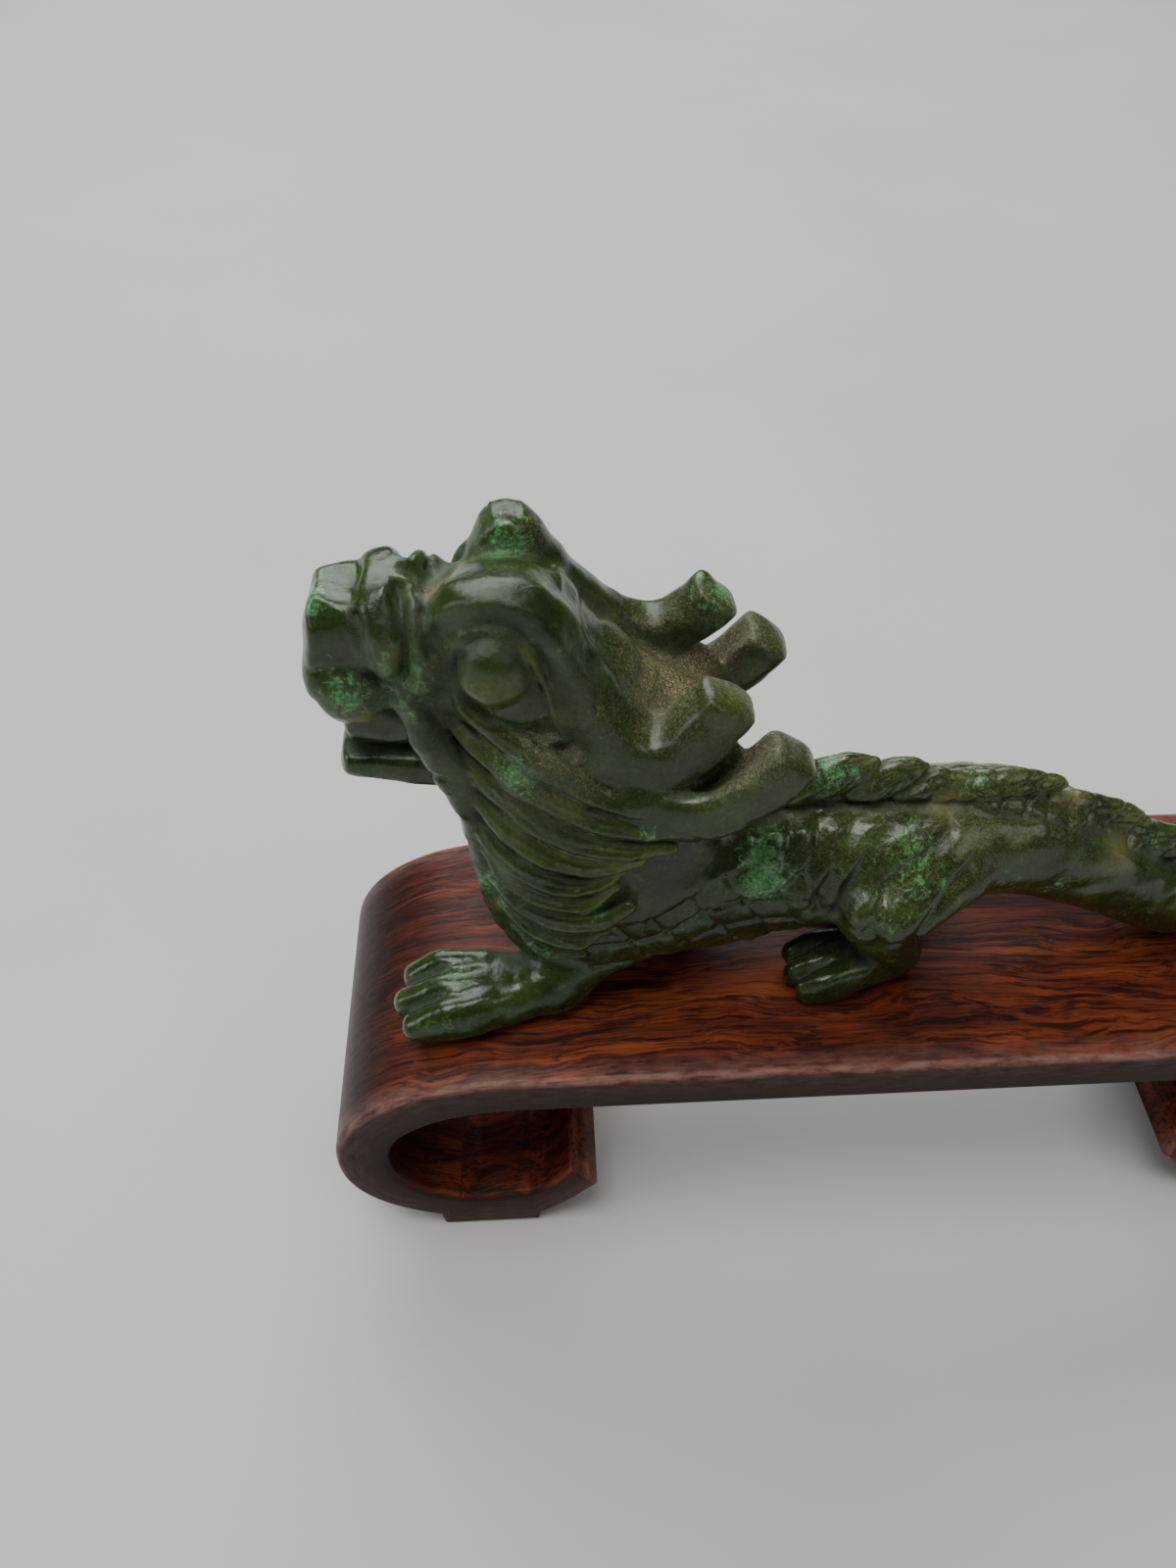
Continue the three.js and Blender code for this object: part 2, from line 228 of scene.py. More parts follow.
TRUNK = [
    [62, 0, 8.6, 2.4, 2.6],
    [53, 0.6, 5, 3.6, 3.9],
    [44, 0.6, 5, 4.6, 4.9],
    [36.5, 0, 8, 5.4, 5.6],
    [29, 0, 12.8, 6.2, 6.2],
    [20, 0, 18.6, 7, 7],
    [11, 0, 22.4, 7.8, 7.8],
    [0, 0, 22.4, 8.6, 9],
    [-10, 0, 21, 9, 10],
    [-20, 0, 19.5, 9.4, 11.2],
    [-30, 0, 17.4, 9.6, 12.2],
    [-40, 0, 16.5, 9.4, 13],
    [-48, 0, 17, 8, 12],
]
NECK = [
    [-40, 0, 14, 9.2, 15],
    [-41.5, 0, 26, 9.4, 16],
    [-43, 0, 35, 9, 14.5],
    [-44, 0, 44, 8.2, 12],
    [-46, 0, 51, 7.4, 9],
]
SKULL = [
    [-56, 0, 57, 6.2, 7],
    [-51.5, 0, 57.6, 7, 9],
    [-48, 0, 53, 7.2, 7],
    [-43, 0, 47.4, 7.2, 6.8],
    [-37.6, 0, 44, 7, 6.8],
    [-32.5, 0, 42.6, 6.6, 6.4],
]
CROWN = [
    # the top of the head, sloping from the near brow to the trough between the brows
    [-56.2, -2, 62.6, 4, 3.4],
    [-53.4, -2.4, 64.4, 4.6, 3.6],
    [-50, -2.6, 64.4, 4.8, 3.6],
    [-47.4, -2.6, 61.4, 5, 3],
    [-45.2, -2.8, 57.2, 5.2, 2.6],
    [-42.6, -2.8, 52.4, 5.4, 2.6],
    [-38.6, -2.6, 48.4, 5.4, 2.6],
]
MUZZLE = [
    [-70.9, 0, 59.7, 4.8, 6.4],
    [-66, 0, 58.8, 5.4, 6.3],
    [-60, 0, 57.8, 5.8, 6],
    [-54, 0, 57, 6.4, 7.4],
]
TONGUE = [[-68.8, 0, 48.6, 3.8, 3.4], [-58, 0, 48.6, 4.6, 4]]
JAW = [[-69.8, 0, 43.4, 4.4, 2.2], [-63, 0, 42, 4.8, 2.6], [-56, 0, 41, 5.2, 3.4]]
NOSTRIL_RIDGE = [
    [-64.2, 5, 59.4, 2.2, 2],
    [-64, 3.8, 63.4, 2.6, 2.4],
    [-63.6, 0, 64.8, 2.7, 2.4],
    [-64, -3.8, 63.4, 2.6, 2.4],
    [-64.2, -5, 59.4, 2.2, 2],
]
NOSTRIL_WING = [[-61.4, -2, 64.6, 2.4, 2], [-60, -4.2, 62.4, 2.8, 2.4], [-60, -5, 57.6, 2.6, 1.8]]
NEAR_BEAM = [
    [-56.6, -5, 65, 1.2, 1.5],
    [-53.8, -6, 67.3, 1.6, 1.4],
    [-50.8, -6.4, 67.4, 1.8, 1.4],
    [-48.2, -6.6, 65.4, 1.9, 1.6],
    [-46.1, -6.8, 60.8, 2.1, 2],
    [-44.4, -7, 55.8, 2.4, 2.4],
    [-41.8, -7.6, 50.8, 2.7, 2.9],
    [-38.2, -7.8, 47.2, 2.9, 3.3],
    [-34, -7.8, 47.6, 3, 3.5],
    [-31, -7.5, 50.8, 3, 3.5],
    [-28.6, -7.2, 54.2, 2.9, 3.4],
]
FAR_BEAM = [
    [-53.2, 5.6, 63.6, 2.4, 2.2],
    [-51, 6, 66.9, 2.9, 2.8],
    [-47.8, 6.2, 62.6, 2.6, 2.8],
    [-43.8, 7, 57.4, 2.4, 2.8],
    [-39.4, 7.8, 52.8, 2.6, 2.9],
    [-35, 8, 51.2, 2.8, 2.9],
    [-31.2, 7.8, 53.2, 2.8, 2.9],
    [-28.4, 7.6, 56.4, 2.6, 2.9],
]
LOWER_PRONG = [
    [-44, -7.6, 47, 2.6, 3.2],
    [-38.5, -8.8, 41.4, 2.9, 3.6],
    [-31.5, -9.6, 40, 3, 3.7],
    [-25.4, -9.8, 43.6, 3, 3.6],
    [-21.6, -9.6, 48.2, 2.9, 3.3],
]
BEARD_STRAP = [
    [-62.6, -4, 56, 1.2, 1.4],
    [-61, -5.4, 51.6, 1.8, 2],
    [-59, -5.8, 46, 2, 2.3],
    [-57.2, -5.6, 40.6, 2.1, 2.3],
    [-56, -5, 34, 2, 2.1],
    [-55.4, -4.6, 26, 2, 2],
    [-54.6, -4.2, 18, 2, 2],
    [-52.6, -3.6, 12, 1.8, 1.8],
]
LID = [
    [-57, -5.8, 59, 0.6, 0.6],
    [-56.6, -6.8, 62.2, 0.6, 0.6],
    [-55.2, -7.2, 64.2, 0.6, 0.6],
    [-53, -7.4, 65, 0.6, 0.6],
    [-50.6, -7.6, 64.2, 0.6, 0.6],
    [-48.6, -8, 61.4, 0.6, 0.8],
    [-47.4, -8.4, 58, 0.6, 0.8],
    [-46.6, -8.4, 54, 0.6, 0.7],
    [-45.4, -8, 50.8, 0.5, 0.6],
]
LOWER_LID = [
    [-57, -5.8, 59, 0.6, 0.6],
    [-56.6, -6.6, 55.4, 0.7, 0.7],
    [-54.4, -7.6, 52.4, 0.7, 0.7],
    [-51.2, -8, 50.8, 0.7, 0.7],
    [-48, -8.2, 50.4, 0.6, 0.6],
    [-45.4, -8, 50.8, 0.5, 0.6],
]
LOCKS = [
    # [half height, the centre line of each lock of the mane on the near side]
    (
        1.7,
        [
            [-56, -6, 53], [-48.6, -9.2, 48.4], [-44.4, -10, 45],
            [-38.6, -10.8, 42], [-33.5, -10.8, 40.4],
        ],
    ),
    (
        1.6,
        [
            [-58.4, -4.8, 51.4], [-50.6, -9, 45.2], [-44.8, -10.4, 41],
            [-38, -11.2, 38.6], [-31, -10.6, 37.8],
        ],
    ),
    (
        1.8,
        [
            [-58, -4.8, 47], [-51, -9, 40.6], [-46, -10.4, 37],
            [-40, -11, 35.2], [-34, -10.6, 34.8],
        ],
    ),
    (
        1.5,
        [
            [-57, -5, 42], [-52.4, -8.8, 37], [-47.6, -10.4, 33.6],
            [-42, -11.2, 32.4], [-37.6, -11, 33.2],
        ],
    ),
    (
        1.7,
        [
            [-56.6, -5, 37], [-53, -8.4, 32], [-48.4, -10.4, 29.6],
            [-43.4, -11, 28.8], [-39.6, -10.8, 31],
        ],
    ),
    (
        1.5,
        [
            [-55, -6.8, 31], [-52, -9, 27.6], [-47.6, -10.4, 25.6],
            [-43.6, -11, 25.6], [-40.4, -10.8, 28],
        ],
    ),
    (
        1.6,
        [
            [-54.6, -6.8, 26], [-51, -9, 23], [-46.6, -10.6, 21.4],
            [-42, -11, 21.6], [-38.6, -10.6, 24],
        ],
    ),
    (
        1.5,
        [
            [-53.6, -6.8, 20.6], [-49.6, -9, 18.2], [-45, -10.4, 17.2],
            [-41.4, -10.6, 19],
        ],
    ),
    (
        1.4,
        [
            [-52.4, -6.6, 15.6], [-48.6, -8.8, 13.6], [-44.4, -10, 13.4],
        ],
    ),
]
FINS = [
    # [root x, root z, tip x, tip z, half height]
    [-25, 29.4, -16, 33.6, 2.6],
    [-18, 31.4, -8.4, 36.6, 3],
    [-10.6, 31.8, -2.2, 35.2, 2.7],
    [-5, 31, 2, 33.4, 2.3],
    [-1, 30.6, 16, 31, 3.2],
    [10, 29, 29, 22.8, 3.4],
    [23, 22.6, 41, 16.2, 3],
    [34, 15.8, 50, 12.6, 2.5],
    [44, 11.6, 58, 11.6, 2.2],
]
LEAF = [[0, 2.4, 0.7], [0.3, 2.5, 0.95], [0.6, 2, 1], [0.82, 1.4, 0.78], [0.94, 0.9, 0.5], [1, 0.5, 0.25]]
CREASE = [[-26, 28], [-14.5, 30.6], [5.5, 30], [18.2, 26.4], [31.7, 17.4], [44, 11.6], [57, 9]]
TUFT = [
    [[58, 0, 6.4, 2.4, 3], [66, 0, 11.4, 2.6, 3.6], [73, 0, 16.4, 0.8, 1.2]],
    [[56, 0, 5, 2.2, 2.6], [65, 0, 5.4, 2.2, 2.4], [72, 0, 8.2, 0.7, 1]],
]
LEGS = {
    # joints of the limb, then [heel, ball] of the foot, then the toes' reach and spread
    "near_fore": (
        [[-40, -5, 13, 4, 6], [-44, -6.4, 8, 4, 5], [-49, -8, 4.6, 4, 4.2]],
        [[-48, -7.8, 3.6, 4, 3.9], [-60, -8.8, 3.4, 5.6, 3.8]],
        7.4,
        4,
    ),
    "far_fore": (
        [[-32, 7, 15, 4.5, 7], [-30, 9, 8, 4.4, 5], [-31, 9.6, 4, 4, 4.2]],
        [[-30, 9.8, 3.2, 3.8, 3.8], [-42, 9.4, 3, 4.4, 3.2]],
        6,
        3,
    ),
    "near_hind": (
        [
            [0.5, -5, 23, 5, 6.6],
            [-5, -8.6, 20, 4, 5.4],
            [-9, -9.4, 18.4, 3, 3.4],
            [-5, -7.8, 11, 2.8, 3.4],
            [-1, -5.6, 5.2, 2.8, 3],
        ],
        [[-1.6, -5, 3.2, 3.2, 3.4], [-10, -6.4, 3, 4.6, 3.2]],
        5.2,
        3.1,
    ),
    "far_hind": (
        [
            [5, 5, 22, 5, 6.6],
            [0, 8.6, 18, 4, 5.6],
            [-4, 9.6, 15.6, 3, 4],
            [1, 8.6, 9.6, 2.8, 3.4],
            [4.4, 7, 5, 2.8, 3],
        ],
        [[4, 6.6, 3.2, 3.2, 3.4], [-4, 7.6, 3, 4.4, 3.2]],
        5.2,
        3,
    ),
}
REST_GAP = 0.1


def add_leg(clay, joints, foot, reach, spread):
    clay.add(Limb(joints, up=(1, 0, 0)), 2.2)
    clay.add(Limb(foot, square=2.8), 1.6)
    heel, ball = (np.array(end) for end in foot)
    along = (ball - heel)[:2] / np.linalg.norm((ball - heel)[:2])
    across = np.array([-along[1], along[0]])
    for side, length in ((-1, 0.86), (0, 1.06), (1, 0.92)):
        start = ball[:2] + 0.8 * side * spread * across - 3 * along
        knuckle = ball[:2] + side * spread * across + 0.3 * reach * along
        tip = ball[:2] + 0.96 * side * spread * across + length * reach * along
        toe = [
            [*start, ball[2] + 0.5, 0.55 * spread, 0.9 * ball[4]],
            [*knuckle, ball[2] + 0.3, 0.56 * spread, 0.95 * ball[4]],
            [*tip, 2.4, 0.46 * spread, 2.6],
        ]
        clay.add(Limb(toe, steps=4, square=2.3), 0.55)


def add_head(clay):
    clay.add(Limb(SKULL, square=2.4), 3)
    clay.add(Limb(MUZZLE, square=5, blunt=(0.3, 1)), 2)
    for side in (-1, 1):
        clay.shave([-69, 4 * side, 64.6], [-0.25, 0.7 * side, 0.68], 4.4)
    clay.add(Limb(TONGUE, square=3, blunt=(0.4, 1)), 0.8)
    clay.add(Limb(JAW, square=3, blunt=(0.5, 1)), 0.8)
    clay.add(Limb(NOSTRIL_RIDGE, up=(1, 0, 0), square=2.6), 1)
    for wing in both(NOSTRIL_WING):
        clay.add(Limb(wing, up=(1, 0, 0), square=2.4), 2)
    clay.add(Limb(CROWN, up=(0, 0.28, 1), square=3.6), 1.2)
    for side in (-1, 1):
        # the lip, the side of the nose, and the bridge
        clay.add(Egg([-67.8, 4.4 * side, 54.4], [3.4, 2.2, 3.6], 12), 1.2)
        clay.add(Egg([-34.5, 7.2 * side, 45.2], [8, 2.8, 5], -10), 2)
        clay.add(Egg([-66.6, 5 * side, 52.6], [1, 1, 1.3]), 0.5)
    clay.add(Limb(NEAR_BEAM, square=3.4, blunt=(1, 0.3)), 1.6)
    clay.add(Limb(FAR_BEAM, square=2.8, blunt=(1, 0.3)), 1.4)
    for prong in both(LOWER_PRONG):
        clay.add(Limb(prong, square=3, blunt=(1, 0.3)), 0.9)
    for side in (-1, 1):
        # socket, then the eyeball and its folds, each set a little further in
        clay.cut(Egg([-52, 10 * side, 59.8], [4.8, 3.2, 5.6]), 0.8)
        clay.add(Egg([-50.4, 6 * side, 56.2], [4.6, 2.6, 6], -26), 0.12)
        clay.add(Egg([-51.4, 6.5 * side, 57.6], [4.2, 2.8, 5.2], -20), 0.12)
        clay.add(Egg([-52.5, 7.4 * side, 59.8], [3.7, 3.3, 4.6], -14), 0.1)
    for table in (LID, LOWER_LID):
        for lid in both(table):
            clay.add(Limb(lid, steps=3, up=(0.1, 1, 0.05)), 0.5)
    for strap in both(BEARD_STRAP):
        clay.add(Limb(strap, square=2.6), 0.8)


def add_mane(clay):
    for half_height, line in LOCKS:
        t = np.linspace(0, 1, len(line))
        swell = 0.55 + 0.75 * np.sin(np.pi * np.minimum(1, 0.12 + t * 0.9))
        rows = [[*p, 1.4 * s, half_height * s] for p, s in zip(line, swell)]
        for stations in both(rows):
            clay.add(Limb(stations, square=1.7, furrows=([-0.35, 0.3], 0.1, 0.22)), 0.3)


def add_fins(clay):
    for x0, z0, x1, z1, half_height in FINS:
        rows = [[x0 + (x1 - x0) * t, 0, z0 + (z1 - z0) * t**0.8, w, h * half_height] for t, w, h in LEAF]
        clay.add(Limb(rows, square=1.8, furrows=([0.1, 0.55], 0.1, 0.25)), 0.3)
    for rows in TUFT:
        clay.add(Limb(rows, furrows=([-0.5, 0, 0.5], 0.14, 0.4)), 0.8)
    crest = ([-30, -4.5, 6], [60, 4.5, 40])
    clay.engrave(CREASE, 0.6, 0.6, *crest)
    rng = np.random.default_rng(4)
    for k in range(26):
        x, lean = -24 + 3.1 * k + rng.uniform(-0.4, 0.4), rng.uniform(0.9, 1.3)
        z = np.interp(x, *zip(*CREASE))
        clay.engrave([[x, z + 0.9], [x + 1.4 * lean, z + 2.6], [x + 4.2 * lean, z + 5]], 0.34, 0.26, *crest)


BELLY_EDGE = [[-44, 18.6], [-38, 19.2], [-34, 20.7], [-30.4, 23.4], [-26.4, 25.6], [-21, 26.4], [-16, 25]]
BELLY_ROW = 4.4
FLAMES = [
    # soft furrows down the flank and over the haunch
    [[-22, 30.4], [-22.8, 27.6], [-24.4, 25.6]],
    [[-18.6, 30.4], [-19.4, 27], [-21.6, 24.4]],
    [[-15, 30.6], [-16.2, 26.6], [-18.9, 23]],
    [[-9.6, 31], [-12.4, 28.2], [-14.4, 23.4], [-15.4, 19.6]],
    [[-3, 31], [-7.7, 29], [-11, 24.6], [-12.4, 19]],
    [[0.6, 29.4], [-4, 26.6], [-7.6, 22.6], [-9.2, 18.4]],
    [[3.4, 26.6], [0, 23.6], [-3, 18.6], [-3.4, 14]],
]

CHEEK_TROUGH = [[-47.6, 63], [-46.2, 58], [-45.2, 53.4], [-43.4, 48.8], [-40.6, 45]]


def engrave_body(clay):
    for side in (-1, 1):
        low, high = sorted([2.0 * side, 16.0 * side])
        flank = ([-44, low, 3], [-14, high, 29])
        clay.terrace(BELLY_EDGE, 0.8, 0.4, *flank)
        # rows of belly plates, with their joints staggered like bricks
        for row in (1, 2, 3):
            line = [[x + 0.5 * row, z - BELLY_ROW * row] for x, z in BELLY_EDGE]
            clay.engrave(line, 0.4, 0.3, *flank)
        for row in range(4):
            for k in range(6):
                x = -40.6 + 4.6 * k + 2.3 * (row % 2)
                z = np.interp(x, *zip(*BELLY_EDGE)) - BELLY_ROW * row
                clay.engrave([[x, z], [x + 2.6, z - BELLY_ROW]], 0.36, 0.3, *flank)
        hip = ([-27, low, 13], [5, high, 32])
        for line in FLAMES:
            clay.engrave(line, 0.8, 0.6, *hip)
        # the shallow trough between the eye and the beam
        cheek = ([-58, low, 40], [-36, high, 68])
        clay.engrave(CHEEK_TROUGH, 1.2, 0.5, *cheek)
        # folds of the nostril, and the lip's line
        snout = ([-74, low, 44], [-56, high, 70])
        clay.engrave([[-65.6, 64.4], [-65, 60], [-65.4, 56.4]], 0.8, 0.8, *snout)
        clay.engrave([[-61.6, 66.4], [-61.2, 62.8], [-61.6, 58.6]], 0.8, 1.1, *snout)
        clay.engrave([[-59.4, 65], [-58.8, 61.6]], 0.5, 0.6, *snout)
        clay.engrave([[-71.4, 57.6], [-68.4, 58.6], [-65, 57]], 0.4, 0.4, *snout)
        clay.engrave([[-70, 45.2], [-64, 44.8], [-59, 44.4]], 0.4, 0.4, *snout)


def hollow_antlers(clay):
    """Scoops along the tops of the lower prongs."""
    for side in (-1, 1):
        scoop = [
            [-31.2, 9 * side, 43.6, 1.3, 1],
            [-28.6, 9.1 * side, 46.8, 1.9, 1.5],
            [-25, 9.1 * side, 50.8, 2, 1.6],
            [-22.6, 9 * side, 53.6, 2, 1.5],
        ]
        clay.cut(Limb(scoop, square=2.6), 0.5)


def ripple(p):
    """The slight unevenness of hand polishing."""
    rng = np.random.default_rng(7)
    total = np.zeros(len(p), np.float32)
    for size, strength in ((9, 0.1), (5, 0.08), (2.8, 0.045)):
        for _ in range(5):
            way = rng.normal(size=3)
            way *= 2 * np.pi / size / np.linalg.norm(way)
            total += strength * np.sin(p @ way.astype(np.float32) + rng.uniform(0, 6.28)) / 2
    return total


def sculpt(points):
    """Distance from each point to the dragon's surface."""
    clay = Clay(points)
    clay.add(Limb(TRUNK, square=2.3), 1)
    clay.add(Limb(NECK, up=(1, 0, 0), square=2.2), 3)
    for joints, foot, reach, spread in LEGS.values():
        add_leg(clay, joints, foot, reach, spread)
    add_head(clay)
    hollow_antlers(clay)
    add_mane(clay)
    add_fins(clay)
    engrave_body(clay)
    clay.d += ripple(clay.p)
    clay.d = np.maximum(clay.d, REST_GAP - clay.p[:, 2])
    return clay.d


# ------------------------------------------------------------------ meshing


def stretch(count, split):
    """The matrix that fills `split` - 1 values between each pair of `count` values."""
    out = np.zeros(((count - 1) * split + 1, count), np.float32)
    place = np.arange(len(out)) / split
    i = np.minimum(place.astype(int), count - 2)
    out[np.arange(len(out)), i] = 1 - (place - i)
    out[np.arange(len(out)), i + 1] = place - i
    return out


def sample(low, high, coarse, split):
    """The field on a fine grid, worked out exactly only near the surface."""
    cells = np.ceil((high - low) / coarse).astype(int)
    axes = [low[a] + coarse * np.arange(cells[a] + 1) for a in range(3)]
    rough_points = np.stack(np.meshgrid(*axes, indexing="ij"), -1).reshape(-1, 3).astype(np.float32)
    rough = sculpt(rough_points).reshape(cells + 1)
    field = rough
    for axis in range(3):
        matrix = stretch(cells[axis] + 1, split)
        field = np.moveaxis(np.tensordot(matrix, field, axes=(1, axis)), 0, axis)
    field = np.ascontiguousarray(field)
    close = np.abs(rough) < coarse * 1.25
    near = np.zeros(cells, bool)
    corners = [(a, b, c) for a in (0, 1) for b in (0, 1) for c in (0, 1)]
    for a, b, c in corners:
        near |= close[a : a + cells[0], b : b + cells[1], c : c + cells[2]]
    fine = near.repeat(split, 0).repeat(split, 1).repeat(split, 2)
    mask = np.zeros(field.shape, bool)
    for a, b, c in corners:
        mask[a : a + fine.shape[0], b : b + fine.shape[1], c : c + fine.shape[2]] |= fine
    at = np.nonzero(mask)
    step = coarse / split
    points = np.stack([low[a] + step * at[a] for a in range(3)], -1).astype(np.float32)
    field[at] = sculpt(points)
    return field, step


def surface_nets(field, low, step):
    """Vertices and quads of the field's zero level."""
    inside = field < 0
    shape = np.array(field.shape)
    cell_ids, crossings, quads = [], [], []
    stride = np.array([shape[1] * shape[2], shape[2], 1])
    for axis in range(3):
        here = [slice(1, -1)] * 3
        there = [slice(1, -1)] * 3
        here[axis] = slice(0, -1)
        there[axis] = slice(1, None)
        here, there = tuple(here), tuple(there)
        change = inside[here] != inside[there]
        at = np.stack(np.nonzero(change), -1)
        at += [0 if a == axis else 1 for a in range(3)]
        other = at.copy()
        other[:, axis] += 1
        a, b = field[tuple(at.T)], field[tuple(other.T)]
        point = at.astype(float)
        point[:, axis] += a / (a - b)
        j, k = [n for n in range(3) if n != axis]
        ring = [(0, 0), (1, 0), (1, 1), (0, 1)]
        ids = []
        for dj, dk in ring:
            cell = at.copy()
            cell[:, j] -= dj
            cell[:, k] -= dk
            ids.append(cell @ stride)
        ids = np.stack(ids, -1)
        flip = inside[tuple(at.T)] ^ (axis == 1)
        ids[~flip] = ids[~flip][:, ::-1]
        quads.append(ids)
        for n in range(4):
            cell_ids.append(ids[:, n])
            crossings.append(point)
    cell_ids = np.concatenate(cell_ids)
    crossings = np.concatenate(crossings)
    cells, index = np.unique(cell_ids, return_inverse=True)
    count = np.bincount(index)
    verts = np.stack([np.bincount(index, crossings[:, a]) / count for a in range(3)], -1)
    faces = np.searchsorted(cells, np.concatenate(quads))
    return low + verts * step, faces


def look_up(field, low, step, points):
    """The field's value at any points, by trilinear interpolation."""
    place = np.clip((points - low) / step, 0, np.array(field.shape) - 1.001)
    i = place.astype(int)
    f = place - i
    total = np.zeros(len(points))
    for a in (0, 1):
        for b in (0, 1):
            for c in (0, 1):
                weight = np.prod(np.where([a, b, c], f, 1 - f), axis=1)
                total += weight * field[i[:, 0] + a, i[:, 1] + b, i[:, 2] + c]
    return total


def mesh_object(name, verts, faces):
    mesh = bpy.data.meshes.new(name)
    mesh.vertices.add(len(verts))
    mesh.vertices.foreach_set("co", np.asarray(verts, np.float32).ravel())
    sizes = np.array([len(face) for face in faces])
    flat = np.concatenate(list(faces))
    mesh.loops.add(len(flat))
    mesh.loops.foreach_set("vertex_index", flat.astype(np.int32))
    mesh.polygons.add(len(sizes))
    mesh.polygons.foreach_set("loop_start", (np.cumsum(sizes) - sizes).astype(np.int32))
    mesh.polygons.foreach_set("loop_total", sizes.astype(np.int32))
    mesh.update(calc_edges=True)
    mesh.polygons.foreach_set("use_smooth", np.ones(len(sizes), bool))
    piece = bpy.data.objects.new(name, mesh)
    bpy.context.scene.collection.objects.link(piece)
    return piece


def bake_modifiers(piece):
    graph = bpy.context.evaluated_depsgraph_get()
    baked = bpy.data.meshes.new_from_object(piece.evaluated_get(graph))
    piece.modifiers.clear()
    piece.data = baked


def set_attribute(piece, name, values):
    layer = piece.data.attributes.new(name, "FLOAT", "POINT")
    layer.data.foreach_set("value", np.asarray(values, np.float32))


def set_vector(piece, name, values):
    layer = piece.data.attributes.new(name, "FLOAT_VECTOR", "POINT")
    layer.data.foreach_set("vector", np.asarray(values, np.float32).ravel())


# ------------------------------------------------------------------ the dragon

FLECK_SPOTS = [
    # [x, y, z, radius, strength] of the bright green clusters
    [-70.6, -1.6, 65.2, 2.2, 1],
    [-51, 3, 66.6, 2.6, 0.8],
    [-50.6, 6, 69, 2.6, 0.45],
    [-62, -6, 61, 3, 0.7],
    [-61, -6, 56, 4, 0.5],
    [-68.4, -5.6, 55.6, 2.8, 0.8],
    [-50.4, -8.4, 47.2, 3, 1.3],
    [-37, -10.6, 38.6, 1.8, 0.9],
    [-54.6, -6, 24, 4.5, 0.7],
    [-49, -8, 14, 4, 0.6],
    [-43, -10.6, 24, 2, 1],
    [-22, -8, 24.6, 3, 1.2],
    [-22, -6, 29, 3.6, 0.6],
    [-14, 0, 36, 4, 0.8],
    [-5, 0, 34, 3, 0.5],
    [4, 0, 33, 3, 0.5],
    [-5, -6, 28, 5, 0.5],
    [-7, -10, 20, 4, 0.46],
    [-2, -8, 23, 4, 0.42],
    [9, -6, 22, 2, 0.9],
    [16, -6, 20, 2, 0.8],
    [7, -4, 25, 3, 0.5],
    [-60, -8, 8, 4.6, 0.42],
    [-28.5, 7, 56, 3, 0.9],
    [-42, -8.6, 52, 1.6, 0.5],
    [30, 0, 20, 4, 0.4],
    [44, -3, 9, 5, 0.6],
]
RAW_SPOTS = [
    # where the stone was never polished
    [-52, -8, 66, 3, 0.8],
    [-56.6, -6.6, 60, 2.4, 0.9],
    [-46.6, -9, 58, 2.6, 1],
    [-45, -9, 52, 3, 1],
    [-47, -9, 48, 3, 0.7],
    [-60, -6, 57, 3.6, 1],
    [-61, -5, 63, 2.6, 0.8],
    [-66, -5, 56, 3, 0.7],
    [-57, -6, 50, 3, 0.6],
    [-50, -9, 42, 6, 0.4],
    [-54, -7, 30, 5, 0.5],
    [-32, 0, 50, 6, 0.8],
    [-27, -9, 48.6, 3.4, 1],
    [-27, 9, 48.6, 3.4, 1],
]
DUST_SPOTS = [
    [-33, 0, 51, 7.5, 1],
    [-27, 0, 46, 6, 0.8],
    [-27, -9, 48, 4.5, 0.7],
    [-27, 9, 48, 4.5, 0.8],
    [-57.5, -1, 65.4, 1.8, 0.8],
    [-47, -9, 54, 5, 0.5],
    [-47, -9, 46, 6, 0.35],
    [-48, 5, 68, 3, 0.3],
    [0, 0, 31, 30, 0.25],
]
PAINTED_GLOW_SPOTS = [
    # painted glow, lighter where light shines into the stone: the eyes, the tips of the antlers, the cut
    # nose
    [-52.5, -9, 59, 4.4, 1.1],
    [-52.5, 9, 59, 4.4, 1.1],
    [-29, -8, 53.5, 4.5, 0.8],
    [-29, 8, 55, 4.5, 0.8],
    [-22.6, -10, 46, 4.5, 0.9],
    [-22.6, 10, 46, 4.5, 0.9],
    [-69, -3, 52, 3.5, 0.6],
    [-40, -9, 44, 5, 0.5],
]
CREAM_SPOTS = [
    # small tan spots in the stone
    [-66.8, -5.4, 52.2, 1.4, 1],
    [-62.4, -6, 60.8, 1.3, 0.9],
    [-57.6, -2.4, 66, 1.2, 0.8],
    [-54, -6, 19.6, 1.4, 0.8],
    [0, -2.4, 30.6, 2, 0.6],
    [24, -4, 22.4, 2.4, 0.6],
    [17, 0, 30, 2, 0.6],
]


def spots(verts, table):
    total = np.zeros(len(verts))
    for x, y, z, radius, strength in table:
        gap = np.linalg.norm(verts - [x, y, z], axis=1) / radius
        total += strength * np.exp(-gap * gap)
    return np.clip(total, 0, 1.2)


CLAY_LOW = np.array([-76.0, -19.0, -1.6])
CLAY_HIGH = np.array([78.0, 19.0, 74.0])
COARSE_STEP = 1.6
SPLIT = 5
TRIANGLE_LIMIT = 190000


